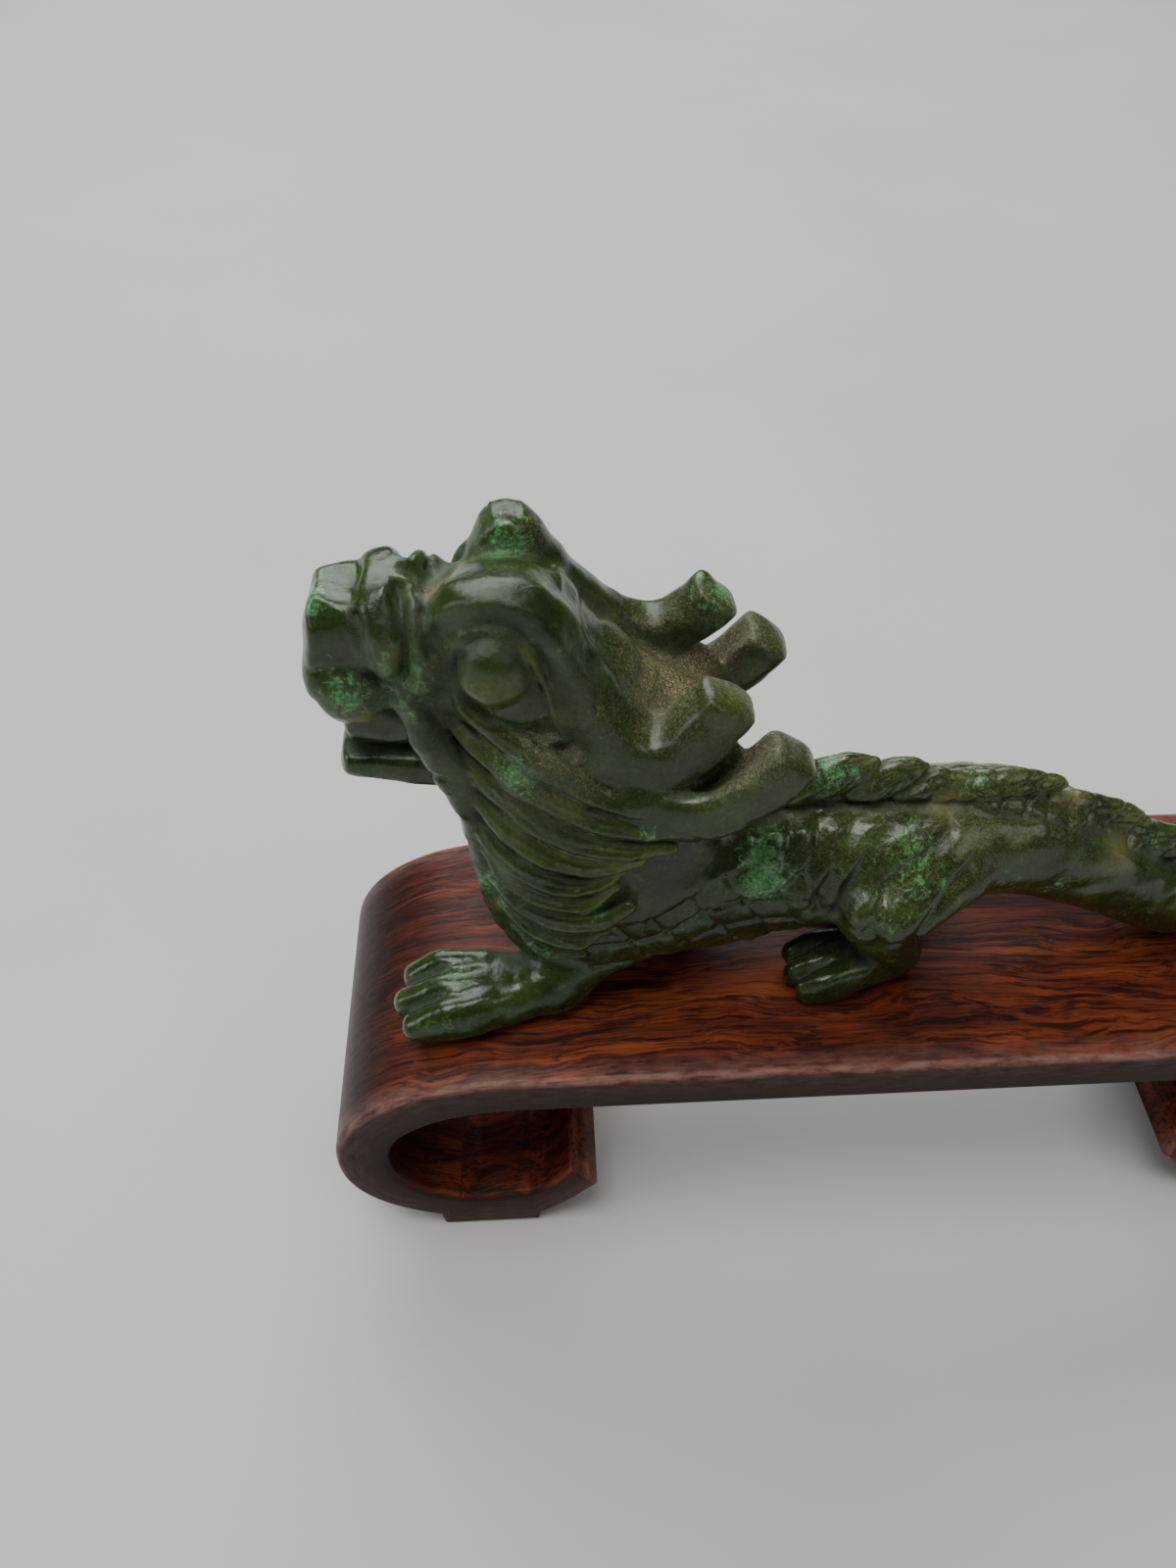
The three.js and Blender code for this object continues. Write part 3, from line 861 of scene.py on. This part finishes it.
def make_dragon():
    low = CLAY_LOW
    field, step = sample(low, CLAY_HIGH, COARSE_STEP, SPLIT)
    verts, faces = surface_nets(field, low, step)
    verts[:, 2] = np.maximum(verts[:, 2], REST_GAP)
    piece = mesh_object("dragon_carving", (verts + [0, 0, BOARD_TOP]) * MM, faces)
    triangles = 2 * len(faces)
    if triangles > TRIANGLE_LIMIT:
        decimate = piece.modifiers.new("decimate", "DECIMATE")
        decimate.ratio = TRIANGLE_LIMIT / triangles
        bake_modifiers(piece)
    count = len(piece.data.vertices)
    co = np.empty(count * 3, np.float32)
    piece.data.vertices.foreach_get("co", co)
    local = co.reshape(-1, 3) / MM - [0, 0, BOARD_TOP]
    normal = np.empty(count * 3, np.float32)
    piece.data.vertices.foreach_get("normal", normal)
    normal = normal.reshape(-1, 3)

    def probe(out):
        return look_up(field, low, step, local + normal * out)

    hollow = 1 - np.clip((probe(0.7) / 0.7 + probe(1.6) / 1.6 + probe(3) / 3) / 3, 0, 1)
    # painted glow: how thin the stone is under each point, which lightens its colour to olive as if light
    # shone through
    thin_glow = 1 - np.clip((-probe(-1.5) / 1.5 - probe(-3) / 3) / 2, 0, 1)
    set_attribute(piece, "hollow", hollow)
    set_attribute(piece, "thin_glow", np.maximum(thin_glow, spots(local, PAINTED_GLOW_SPOTS)))
    set_attribute(piece, "fleck", spots(local, FLECK_SPOTS))
    set_attribute(piece, "dust", spots(local, DUST_SPOTS))
    set_attribute(piece, "raw", spots(local * [1, -1, 1], RAW_SPOTS) + spots(local, RAW_SPOTS))
    set_attribute(piece, "cream", spots(local, CREAM_SPOTS))
    return piece


# ------------------------------------------------------------------ the stand

STAND = {
    "board": 7.5,
    "bend": 27,
    "squareness": 2.2,
    "lip": ((37, 11.4), (33, 16.4)),
    "sole": (13, 28, 0.8),
    "corner": 1.1,  # rounding of the long edges
}


def stand_profile(count):
    """Matching points along the outside and the inside of the board, from lip to lip."""
    length, height = STAND_SIZE[0], STAND_SIZE[2]
    end, middle = -length / 2, height / 2
    bend, board = STAND["bend"], STAND["board"]
    power = 2 / STAND["squareness"]
    (lip_out, lip_out_z), (lip_in, lip_in_z) = STAND["lip"]
    sole_from, sole_to, sole = STAND["sole"]

    def arc(reach, rise, start, stop):
        angle = np.radians(np.linspace(start, stop, 160))
        c, s = np.cos(angle), np.sin(angle)
        x = end + bend + reach * np.sign(c) * np.abs(c) ** power
        return np.stack([x, middle + rise * np.sign(s) * np.abs(s) ** power], -1)

    def curl(*points):
        return smooth_rows(points, 24)

    def resample(points, total):
        run = np.concatenate([[0], np.cumsum(np.linalg.norm(np.diff(points, axis=0), axis=1))])
        at = np.linspace(0, run[-1], total)
        return np.stack([np.interp(at, run, points[:, a]) for a in (0, 1)], -1)

    foot_out = arc(bend, middle - sole, 270, 180)
    lip_end = [end + lip_out, lip_out_z]
    lip_start = [end + lip_in, lip_in_z]
    rise_out = curl(lip_end, [lip_end[0] - 4.4, lip_end[1] - 5.4], foot_out[0])
    outer = np.concatenate([rise_out[:-1], foot_out, arc(bend, middle, 180, 90)[1:]])
    foot_in = arc(bend - board, middle - board, 248, 180)
    rise_in = curl(lip_start, [lip_start[0] - 4.4, lip_start[1] - 5.6], foot_in[0])
    inner = np.concatenate([rise_in[:-1], foot_in, arc(bend - board, middle - board, 180, 90)[1:]])
    outer, inner = resample(outer, count), resample(inner, count)
    flat = (outer[:, 0] > end + sole_from) & (outer[:, 0] < end + sole_to) & (outer[:, 1] < 6)
    outer[flat, 1] = 0
    board_x = np.linspace(end + bend, 0, count // 2)[1:]
    outer = np.concatenate([outer, np.stack([board_x, np.full(len(board_x), height)], -1)])
    inner = np.concatenate([inner, np.stack([board_x, np.full(len(board_x), height - board)], -1)])
    mirror = np.array([-1, 1])
    return (np.concatenate([side, side[-2::-1] * mirror]) for side in (outer, inner))


def make_stand():
    outer, inner = stand_profile(200)
    middle = (outer + inner) / 2
    run = np.concatenate([[0], np.cumsum(np.linalg.norm(np.diff(middle, axis=0), axis=1))])
    half = STAND_SIZE[1] / 2
    corner = STAND["corner"]
    quarter = np.radians(np.linspace(0, 90, 6))
    reach = half - corner + corner * np.sin(quarter)
    inset = corner * (1 - np.cos(quarter))
    flat = np.linspace(-1, 1, 15)[1:-1] * (half - corner)
    # round the section: [y, outside (0) or inside (1), inset across the thickness]
    rim = [(y, 0, 0) for y in flat]
    rim += [(y, 0, gap) for y, gap in zip(reach, inset)]
    rim += [(y, 1, gap) for y, gap in zip(reach[::-1], inset[::-1])]
    rim += [(y, 1, 0) for y in flat[::-1]]
    rim += [(-y, 1, gap) for y, gap in zip(reach, inset)]
    rim += [(-y, 0, gap) for y, gap in zip(reach[::-1], inset[::-1])]
    rim = np.array(rim)
    across = inner - outer
    thick = np.linalg.norm(across, axis=1)
    across /= thick[:, None]
    verts, grain, edge = [], [], []
    for i in range(len(outer)):
        from_out = np.where(rim[:, 1] == 0, rim[:, 2], thick[i] - rim[:, 2])
        xz = outer[i] + across[i] * from_out[:, None]
        verts.append(np.stack([xz[:, 0], rim[:, 0], xz[:, 1]], -1))
        grain.append(np.stack([np.full(len(rim), run[i]), rim[:, 0], from_out], -1))
        from_side = half - np.abs(rim[:, 0])
        edge.append(np.exp(-((from_side / 1.1) ** 2) - (from_out / 0.9) ** 2))
    rings, ring = len(outer), len(rim)
    index = np.arange(rings * ring).reshape(rings, ring)
    a, b = index[:-1], index[1:]
    quads = np.stack([a, np.roll(a, -1, 1), np.roll(b, -1, 1), b], -1).reshape(-1, 4)
    faces = [*quads, index[0][::-1], index[-1]]
    piece = mesh_object("stand_board", np.concatenate(verts) * MM, faces)
    set_vector(piece, "grain", np.concatenate(grain))
    set_attribute(piece, "edge", np.concatenate(edge))
    return piece


# ------------------------------------------------------------------ materials


class Nodes:
    """A short way to lay out a material."""

    def __init__(self, name):
        self.material = bpy.data.materials.new(name)
        self.material.use_nodes = True
        self.tree = self.material.node_tree
        self.shader = self.tree.nodes["Principled BSDF"]

    def node(self, kind, settings=(), **inputs):
        made = self.tree.nodes.new(kind)
        for key, value in dict(settings).items():
            setattr(made, key, value)
        for key, value in inputs.items():
            self.feed(made.inputs[key.replace("_", " ")], value)
        return made

    def feed(self, socket, value):
        if isinstance(value, bpy.types.NodeSocket):
            self.tree.links.new(value, socket)
        else:
            socket.default_value = value

    def attribute(self, name):
        made = self.node("ShaderNodeAttribute", {"attribute_name": name})
        return made.outputs["Fac"]

    def vector(self, name):
        return self.node("ShaderNodeAttribute", {"attribute_name": name}).outputs["Vector"]

    def scaled(self, vector, scale):
        made = self.node("ShaderNodeMapping", Vector=vector)
        made.inputs["Scale"].default_value = scale
        return made.outputs["Vector"]

    def noise(self, vector, scale, detail=3.0, rough=0.55, warp=0.0):
        made = self.node("ShaderNodeTexNoise", Vector=vector, Scale=scale)
        made.inputs["Detail"].default_value = detail
        made.inputs["Roughness"].default_value = rough
        made.inputs["Distortion"].default_value = warp
        return made.outputs["Fac"]

    def ramp(self, value, *stops):
        made = self.node("ShaderNodeValToRGB", Fac=value)
        ramp = made.color_ramp
        while len(ramp.elements) < len(stops):
            ramp.elements.new(0.5)
        for element, (at, colour) in zip(ramp.elements, stops):
            element.position = at
            element.color = (*colour, 1) if isinstance(colour, tuple) else (colour,) * 3 + (1,)
        return made.outputs["Color"]

    def maths(self, kind, a, b=0.5, clamp=False):
        made = self.node("ShaderNodeMath", {"operation": kind, "use_clamp": clamp})
        self.feed(made.inputs[0], a)
        self.feed(made.inputs[1], b)
        return made.outputs[0]

    def mix(self, amount, a, b):
        made = self.node("ShaderNodeMix", {"data_type": "RGBA"})
        self.feed(made.inputs[0], amount)
        for socket, value in ((made.inputs[6], a), (made.inputs[7], b)):
            self.feed(socket, (*value, 1) if isinstance(value, tuple) else value)
        return made.outputs[2]

    def blend(self, amount, a, b):
        made = self.node("ShaderNodeMix")
        for socket, value in zip(made.inputs[:4], (amount, None, a, b)):
            if value is not None:
                self.feed(socket, value)
        return made.outputs[0]

    def bump(self, height, strength, distance, under=None):
        made = self.node("ShaderNodeBump", Height=height, Strength=strength, Distance=distance)
        if under is not None:
            self.feed(made.inputs["Normal"], under)
        return made.outputs["Normal"]

    def set(self, **inputs):
        for key, value in inputs.items():
            self.feed(self.shader.inputs[key.replace("_", " ")], value)


def jade_material():
    m = Nodes("jade")
    place = m.scaled(m.node("ShaderNodeTexCoord").outputs["Object"], (1000, 1000, 1000))
    hollow, thin_glow = m.attribute("hollow"), m.attribute("thin_glow")
    # the body of the stone: near black green, with a painted glow of olive where it is thin, as if light
    # shone through
    cloud = m.noise(place, 0.16, 4, 0.6, 0.6)
    dark, body, pale = (0.009, 0.020, 0.004), (0.024, 0.047, 0.008), (0.056, 0.092, 0.016)
    base = m.ramp(cloud, (0.3, dark), (0.52, body), (0.72, pale))
    painted_glow_colour = m.ramp(m.noise(place, 0.3, 3, 0.6), (0.3, (0.062, 0.088, 0.008)), (0.7, (0.150, 0.180, 0.020)))
    base = m.mix(m.maths("MULTIPLY", m.ramp(thin_glow, (0.45, 0.0), (0.95, 1.0)), 0.8), base, painted_glow_colour)
    # scattered mottling, and bright clusters at their places
    mottle = m.noise(place, 0.75, 6, 0.72, 0.8)
    patches = m.ramp(m.noise(place, 0.13, 2, 0.5), (0.42, 0.0), (0.58, 0.85))
    general = m.maths("MULTIPLY", m.ramp(mottle, (0.54, 0.0), (0.62, 1.0)), patches)
    base = m.mix(general, base, (0.060, 0.150, 0.032))
    grain = m.noise(place, 2.1, 5, 0.7, 0.4)
    base = m.mix(m.ramp(grain, (0.40, 0.5), (0.60, 0.0)), base, (0.010, 0.018, 0.008))
    crumbs = m.noise(place, 0.85, 8, 0.78, 0.9)
    cluster = m.maths("MULTIPLY", m.attribute("fleck"), m.noise(place, 0.45, 3, 0.6))
    edge = m.maths("ADD", crumbs, m.maths("MULTIPLY", cluster, 0.55))
    fleck = m.ramp(edge, (0.65, 0.0), (0.69, 1.0))
    tint = m.noise(place, 2.6, 3, 0.6)
    vivid = m.ramp(
        tint,
        (0.35, (0.035, 0.11, 0.035)),
        (0.55, (0.09, 0.28, 0.10)),
        (0.75, (0.24, 0.46, 0.24)),
    )
    halo = m.ramp(edge, (0.56, 0.0), (0.68, 0.6))
    base = m.mix(halo, base, (0.045, 0.085, 0.022))
    base = m.mix(m.maths("MULTIPLY", fleck, 0.9), base, vivid)
    base = m.mix(m.maths("MULTIPLY", m.attribute("cream"), 0.8, True), base, (0.26, 0.24, 0.09))
    # unpolished, frosty hollows, with golden dust lying in some of them
    speck = m.noise(place, 6, 4, 0.7)
    deep = m.ramp(hollow, (0.2, 0.0), (0.55, 1.0))
    frost = m.maths("MULTIPLY", deep, m.ramp(speck, (0.4, 0.25), (0.65, 1.0)))
    chip = m.ramp(m.noise(place, 1.3, 6, 0.8, 0.6), (0.4, 0.25), (0.56, 1.0))
    raw = m.maths("MULTIPLY", m.attribute("raw"), chip, True)
    tooled = m.ramp(
        speck,
        (0.38, (0.018, 0.028, 0.012)),
        (0.54, (0.060, 0.085, 0.036)),
        (0.7, (0.15, 0.18, 0.10)),
    )
    base = m.mix(m.maths("MULTIPLY", raw, 0.75), base, tooled)
    base = m.mix(m.maths("MULTIPLY", frost, 0.3), base, (0.14, 0.16, 0.11))
    geometry = m.node("ShaderNodeNewGeometry")
    up = m.node("ShaderNodeSeparateXYZ", Vector=geometry.outputs["Normal"]).outputs["Z"]
    grit = m.ramp(m.noise(place, 3.2, 6, 0.85, 1.2), (0.51, 0.0), (0.58, 1.0))
    dust = m.maths("MULTIPLY", m.attribute("dust"), m.ramp(up, (0.0, 0.2), (0.6, 1.0)))
    dust = m.maths("MULTIPLY", dust, grit, True)
    base = m.mix(m.maths("MULTIPLY", dust, 0.9), base, (0.52, 0.40, 0.21))
    rough = m.blend(m.ramp(m.noise(place, 0.5, 4, 0.6), (0.3, 0.0), (0.7, 1.0)), 0.14, 0.26)
    unpolished = m.maths("MAXIMUM", frost, raw)
    rough = m.blend(unpolished, rough, 0.6)
    rough = m.blend(dust, rough, 0.85)
    waves = m.noise(place, 0.42, 3, 0.5)
    pits = m.maths("MULTIPLY", m.noise(place, 5.5, 5, 0.75), m.blend(unpolished, 0.12, 1.0))
    normal = m.bump(waves, 0.26, 0.0007)
    normal = m.bump(pits, 0.5, 0.00025, normal)
    m.set(Base_Color=base, Roughness=rough, Normal=normal)
    m.set(Specular_IOR_Level=0.4, IOR=1.55)
    m.set(Subsurface_Weight=0.25, Subsurface_Scale=0.002, Subsurface_Radius=(0.7, 1.0, 0.35))
    return m.material


def rosewood_material():
    m = Nodes("rosewood")
    grain = m.vector("grain")
    sway = m.noise(m.scaled(grain, (0.035, 0.06, 0.06)), 1.0, 3, 0.5)
    bent = m.node("ShaderNodeVectorMath", {"operation": "MULTIPLY_ADD"})
    m.feed(bent.inputs[0], m.node("ShaderNodeCombineXYZ", Y=sway, Z=sway).outputs[0])
    bent.inputs[1].default_value = (0, 9, 5)
    m.feed(bent.inputs[2], grain)
    flow = bent.outputs[0]
    bands = m.noise(m.scaled(flow, (0.014, 0.2, 0.2)), 1.0, 5, 0.62, 0.4)
    base = m.ramp(
        bands,
        (0.32, (0.034, 0.008, 0.006)),
        (0.46, (0.075, 0.016, 0.008)),
        (0.58, (0.17, 0.036, 0.013)),
        (0.74, (0.30, 0.075, 0.022)),
    )
    # short black feathers, a little aslant of the grain
    slant = m.node("ShaderNodeMapping", Vector=flow)
    slant.inputs["Rotation"].default_value = (0, 0, 0.08)
    slant.inputs["Scale"].default_value = (0.09, 1.25, 1.25)
    feather = m.noise(slant.outputs["Vector"], 1.0, 6, 0.72, 0.5)
    base = m.mix(m.ramp(feather, (0.49, 0.0), (0.58, 0.85)), base, (0.015, 0.005, 0.005))
    streak = m.noise(m.scaled(flow, (0.03, 2.4, 2.4)), 1.0, 4, 0.65, 0.2)
    base = m.mix(m.ramp(streak, (0.52, 0.0), (0.64, 0.75)), base, (0.012, 0.005, 0.005))
    # painted shade: the side faces and the curls are darker, and they are also duller
    facing = m.node("ShaderNodeNewGeometry").outputs["Normal"]
    across = m.maths("ABSOLUTE", m.node("ShaderNodeSeparateXYZ", Vector=facing).outputs["Y"])
    side = m.ramp(across, (0.5, 0.0), (0.95, 1.0))
    place = m.node("ShaderNodeTexCoord").outputs["Object"]
    end = m.maths("ABSOLUTE", m.node("ShaderNodeSeparateXYZ", Vector=place).outputs["X"])
    curl = m.ramp(m.maths("MULTIPLY", end, 12.5), (0.78, 0.0), (0.93, 1.0))
    # painted shade darkens the side faces, then the curls
    base = m.mix(m.maths("MULTIPLY", side, 0.85), base, (0.018, 0.009, 0.007))
    base = m.mix(m.maths("MULTIPLY", curl, 0.9), base, (0.013, 0.006, 0.006))
    rubbed = m.ramp(m.noise(m.scaled(grain, (0.3, 1, 1)), 1.0, 4, 0.6), (0.35, 0.2), (0.6, 1.0))
    wear = m.maths("MULTIPLY", m.attribute("edge"), rubbed)
    base = m.mix(m.maths("MULTIPLY", wear, 0.8), base, (0.36, 0.20, 0.16))
    rough = m.blend(m.noise(m.scaled(grain, (0.2, 1.2, 1.2)), 1.0, 4, 0.6), 0.24, 0.46)
    rough = m.blend(side, rough, 0.55)
    pores = m.noise(m.scaled(flow, (0.35, 7, 7)), 1.0, 3, 0.6)
    normal = m.bump(bands, 0.12, 0.0004)
    normal = m.bump(m.ramp(pores, (0.32, 0.0), (0.46, 1.0)), 0.25, 0.00012, normal)
    m.set(Base_Color=base, Roughness=rough, Normal=normal, Specular_IOR_Level=0.16)
    return m.material


# ------------------------------------------------------------------ pieces

dragon = make_dragon()
dragon.data.materials.append(jade_material())
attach(dragon, "root")
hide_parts("jade_dragon")

stand = make_stand()
stand.data.materials.append(rosewood_material())
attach(stand, "root")
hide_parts("scroll_stand")

# ------------------------------------------------------------------ camera, light and floor


def make_floor():
    bpy.ops.mesh.primitive_plane_add(size=6, location=(0, 0, 0))
    floor = bpy.context.object
    floor.name = "floor"
    m = Nodes("floor_paper")
    place = m.node("ShaderNodeTexCoord").outputs["Object"]
    tone = m.ramp(m.noise(place, 9, 3, 0.5), (0.3, (0.56, 0.56, 0.545)), (0.7, (0.61, 0.61, 0.595)))
    m.set(Base_Color=tone, Roughness=0.75)
    floor.data.materials.append(m.material)


def area_light(name, place, aim, size, power, colour):
    data = bpy.data.lights.new(name, "AREA")
    data.shape = "RECTANGLE"
    data.size, data.size_y = size
    data.energy = power
    data.color = colour
    lamp = bpy.data.objects.new(name, data)
    lamp.location = place
    lamp.rotation_euler = (Vector(aim) - Vector(place)).to_track_quat("-Z", "Y").to_euler()
    bpy.context.scene.collection.objects.link(lamp)


def make_camera():
    pitch, yaw, roll = math.radians(47.49), math.radians(2.37), math.radians(-0.46)
    ahead = Vector((math.sin(yaw) * math.cos(pitch), math.cos(yaw) * math.cos(pitch), -math.sin(pitch)))
    level = Vector((math.cos(yaw), -math.sin(yaw), 0))
    above = level.cross(ahead)
    right = level * math.cos(roll) + above * math.sin(roll)
    up = above * math.cos(roll) - level * math.sin(roll)
    data = bpy.data.cameras.new("camera")
    data.lens = 27.0
    data.sensor_width = 36.0
    data.clip_start = 0.01
    camera = bpy.data.objects.new("camera", data)
    turn = Matrix((right, up, -ahead)).transposed()
    camera.matrix_world = Matrix.Translation((-0.0470, -0.0953, 0.1814)) @ turn.to_4x4()
    bpy.context.scene.collection.objects.link(camera)
    bpy.context.scene.camera = camera


make_floor()
make_camera()
area_light("overhead", (-0.22, -0.1, 1.0), (0, 0, 0.05), (0.55, 0.45), 6.5, (1.0, 0.99, 0.96))
area_light("behind", (-0.15, 0.85, 0.85), (0, 0, 0.05), (1.3, 0.7), 13, (0.96, 0.98, 1.0))
area_light("window", (-0.95, -0.15, 0.5), (0, 0, 0.06), (0.4, 0.5), 2.5, (0.94, 0.97, 1.0))
area_light("fill", (0.6, -0.5, 0.8), (0, 0, 0.04), (0.5, 0.5), 1.6, (1.0, 0.97, 0.93))

world = bpy.data.worlds.new("studio")
bpy.context.scene.world = world
world.use_nodes = True
world.node_tree.nodes["Background"].inputs["Color"].default_value = (0.80, 0.83, 0.86, 1)
world.node_tree.nodes["Background"].inputs["Strength"].default_value = 0.1
